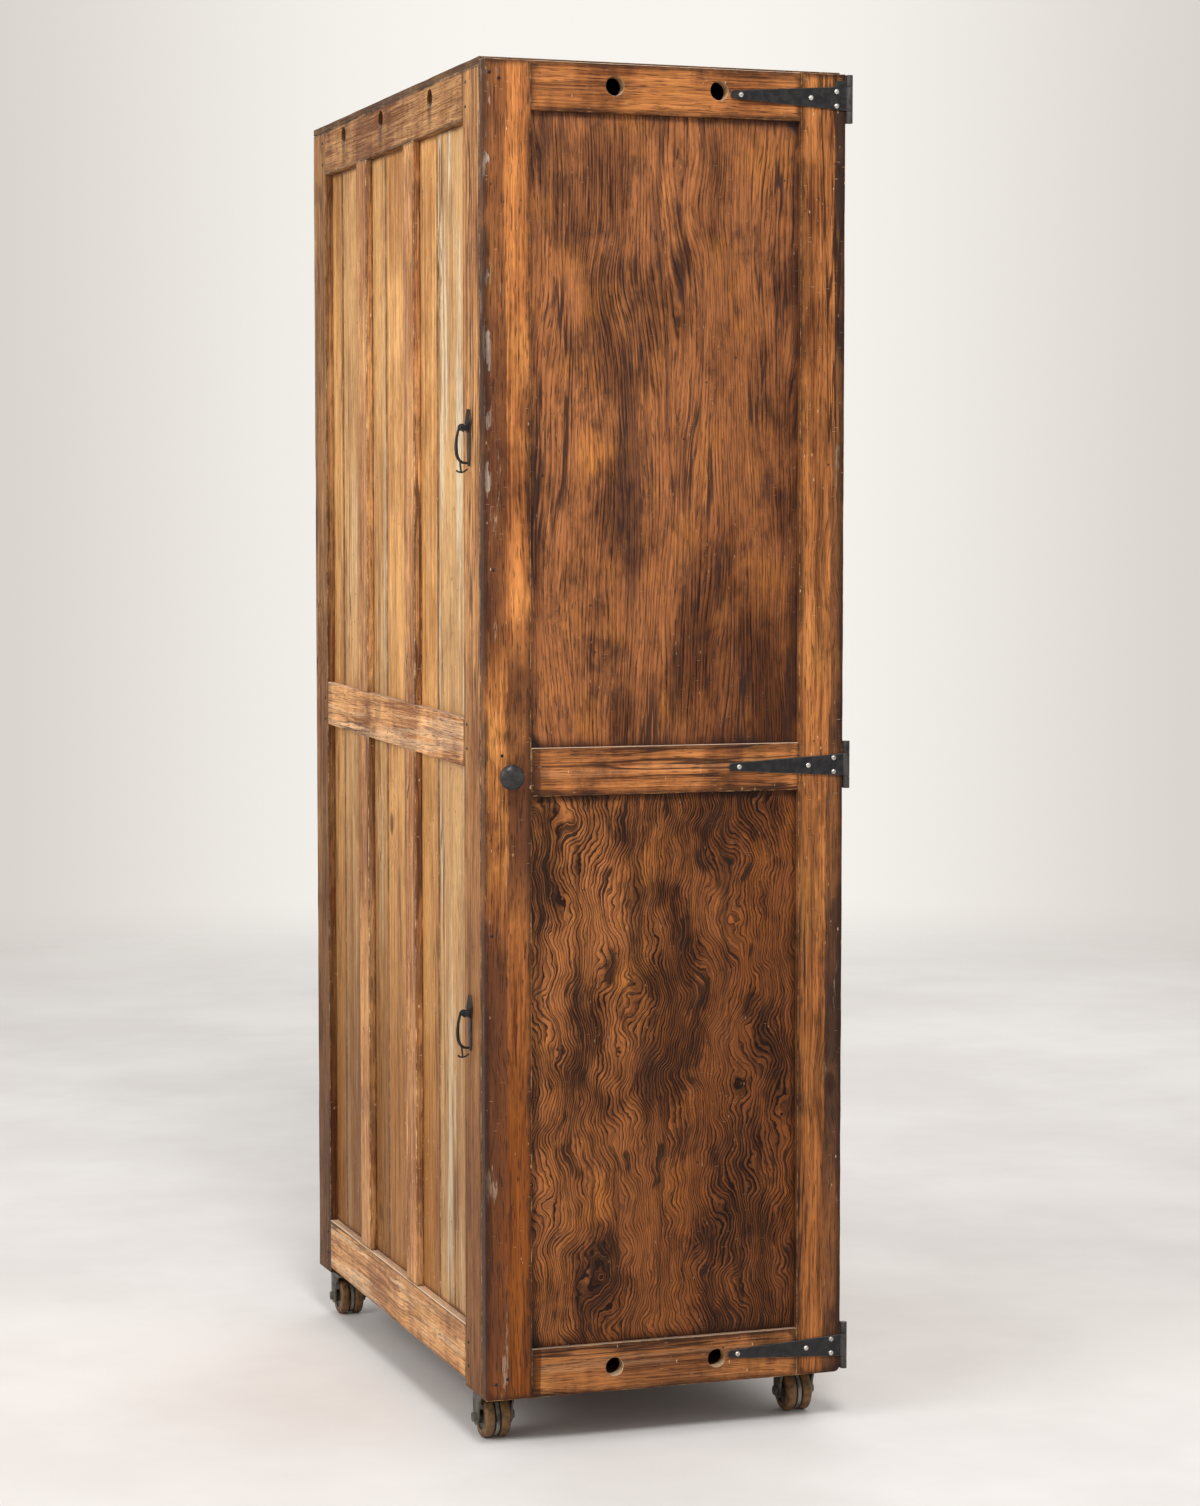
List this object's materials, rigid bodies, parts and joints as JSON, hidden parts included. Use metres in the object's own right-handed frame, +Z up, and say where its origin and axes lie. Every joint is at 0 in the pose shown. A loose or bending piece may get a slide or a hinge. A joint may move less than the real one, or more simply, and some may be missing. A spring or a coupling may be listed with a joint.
{
  "type": "printers type cabinet",
  "caption": "Tall wooden cabinet on swivel casters with framed, boarded sides, one strap-hinged panelled door and sliding type cases on runners inside.",
  "frame": {"origin": "on the floor, under the middle of the outline's width and depth", "axes": "+Z up, +Y from the door to the back, +X to the right as seen from the front"},
  "size_m": [0.5378, 0.922, 1.835],
  "materials": {
    "frame_wood": "worn shellac on red-brown softwood",
    "side_boards": "worn honey varnish on pine boards",
    "door_wood": "worn shellac, orange brown",
    "door_panel": "dark stained rotary-cut veneer",
    "inside_wood": "bare aged pine",
    "black_iron": "black japanned, worn",
    "knob_black": "black, satin",
    "caster_iron": "dull olive-grey iron",
    "wheel_fibre": "worn pressed fibre"
  },
  "bodies": {
    "carcass": {"left_front_stile": "frame_wood", "left_rear_stile": "frame_wood", "left_top_rail": "frame_wood", "left_mid_rail": "frame_wood", "left_bottom_rail": "frame_wood", "left_front_muntin": "frame_wood", "left_rear_muntin": "frame_wood", "left_boards": "side_boards", "left_runner_rack": "inside_wood", "right_front_stile": "frame_wood", "right_rear_stile": "frame_wood", "right_top_rail": "frame_wood", "right_mid_rail": "frame_wood", "right_bottom_rail": "frame_wood", "right_front_muntin": "frame_wood", "right_rear_muntin": "frame_wood", "right_boards": "side_boards", "right_runner_rack": "inside_wood", "back_boards": "side_boards", "back_mid_rail": "frame_wood", "top_board": "frame_wood", "bottom_board": "inside_wood", "hinge_top_leaf": "black_iron", "hinge_middle_leaf": "black_iron", "hinge_bottom_leaf": "black_iron", "pull_upper_plate": "black_iron", "pull_lower_plate": "black_iron", "caster_front_left_plate": "caster_iron", "caster_front_right_plate": "caster_iron", "caster_rear_left_plate": "caster_iron", "caster_rear_right_plate": "caster_iron"},
    "door": {"door_left_stile": "door_wood", "door_right_stile": "door_wood", "door_top_rail": "door_wood", "door_mid_rail": "door_wood", "door_bottom_rail": "door_wood", "door_upper_panel": "door_panel", "door_lower_panel": "door_panel", "hinge_top_strap": "black_iron", "hinge_middle_strap": "black_iron", "hinge_bottom_strap": "black_iron"},
    "knob": {"latch_knob": "knob_black", "latch_tongue": "black_iron"},
    "pull_upper_bail": {"pull_upper_bail": "black_iron"},
    "pull_lower_bail": {"pull_lower_bail": "black_iron"},
    "caster_front_left_swivel": {"caster_front_left_fork": "caster_iron"},
    "caster_front_left_wheel": {"caster_front_left_wheel": "wheel_fibre"},
    "caster_front_right_swivel": {"caster_front_right_fork": "caster_iron"},
    "caster_front_right_wheel": {"caster_front_right_wheel": "wheel_fibre"},
    "caster_rear_left_swivel": {"caster_rear_left_fork": "caster_iron"},
    "caster_rear_left_wheel": {"caster_rear_left_wheel": "wheel_fibre"},
    "caster_rear_right_swivel": {"caster_rear_right_fork": "caster_iron"},
    "caster_rear_right_wheel": {"caster_rear_right_wheel": "wheel_fibre"},
    "type_case_1": {"type_case_1": "inside_wood"},
    "type_case_2": {"type_case_2": "inside_wood"},
    "type_case_3": {"type_case_3": "inside_wood"},
    "type_case_4": {"type_case_4": "inside_wood"},
    "type_case_5": {"type_case_5": "inside_wood"},
    "type_case_6": {"type_case_6": "inside_wood"}
  },
  "joints": [
    {"name": "door_hinge", "type": "hinge", "parent": "carcass", "child": "door", "pos_m": [0.2644, -0.43355, 0.95], "axis": [0, 0, 1], "range_deg": [0, 180]},
    {"name": "knob_turn", "type": "hinge", "parent": "door", "child": "knob", "pos_m": [-0.2164, -0.432, 0.9], "axis": [0, 1, 0], "range_deg": [0, 90]},
    {"name": "pull_upper_swing", "type": "hinge", "parent": "carcass", "child": "pull_upper_bail", "pos_m": [-0.2587, -0.369, 1.356], "axis": [0, 1, 0], "range_deg": [0, 100]},
    {"name": "pull_lower_swing", "type": "hinge", "parent": "carcass", "child": "pull_lower_bail", "pos_m": [-0.2587, -0.369, 0.58], "axis": [0, 1, 0], "range_deg": [0, 100]},
    {"name": "caster_front_left_swivel", "type": "hinge", "parent": "carcass", "child": "caster_front_left_swivel", "pos_m": [-0.2124, -0.367, 0.065], "axis": [0, 0, 1], "continuous": true},
    {"name": "caster_front_left_roll", "type": "hinge", "parent": "caster_front_left_swivel", "child": "caster_front_left_wheel", "pos_m": [-0.2124, -0.349, 0.0285], "axis": [1, 0, 0], "continuous": true},
    {"name": "caster_front_right_swivel", "type": "hinge", "parent": "carcass", "child": "caster_front_right_swivel", "pos_m": [0.2246, -0.367, 0.065], "axis": [0, 0, 1], "continuous": true},
    {"name": "caster_front_right_roll", "type": "hinge", "parent": "caster_front_right_swivel", "child": "caster_front_right_wheel", "pos_m": [0.2246, -0.349, 0.0285], "axis": [1, 0, 0], "continuous": true},
    {"name": "caster_rear_left_swivel", "type": "hinge", "parent": "carcass", "child": "caster_rear_left_swivel", "pos_m": [-0.2124, 0.399, 0.065], "axis": [0, 0, 1], "continuous": true},
    {"name": "caster_rear_left_roll", "type": "hinge", "parent": "caster_rear_left_swivel", "child": "caster_rear_left_wheel", "pos_m": [-0.2124, 0.417, 0.0285], "axis": [1, 0, 0], "continuous": true},
    {"name": "caster_rear_right_swivel", "type": "hinge", "parent": "carcass", "child": "caster_rear_right_swivel", "pos_m": [0.2246, 0.399, 0.065], "axis": [0, 0, 1], "continuous": true},
    {"name": "caster_rear_right_roll", "type": "hinge", "parent": "caster_rear_right_swivel", "child": "caster_rear_right_wheel", "pos_m": [0.2246, 0.417, 0.0285], "axis": [1, 0, 0], "continuous": true},
    {"name": "type_case_1_slide", "type": "slide", "parent": "carcass", "child": "type_case_1", "axis": [0, -1, 0], "range_m": [0, 0.022]},
    {"name": "type_case_2_slide", "type": "slide", "parent": "carcass", "child": "type_case_2", "axis": [0, -1, 0], "range_m": [0, 0.022]},
    {"name": "type_case_3_slide", "type": "slide", "parent": "carcass", "child": "type_case_3", "axis": [0, -1, 0], "range_m": [0, 0.022]},
    {"name": "type_case_4_slide", "type": "slide", "parent": "carcass", "child": "type_case_4", "axis": [0, -1, 0], "range_m": [0, 0.022]},
    {"name": "type_case_5_slide", "type": "slide", "parent": "carcass", "child": "type_case_5", "axis": [0, -1, 0], "range_m": [0, 0.022]},
    {"name": "type_case_6_slide", "type": "slide", "parent": "carcass", "child": "type_case_6", "axis": [0, -1, 0], "range_m": [0, 0.022]}
  ]
}
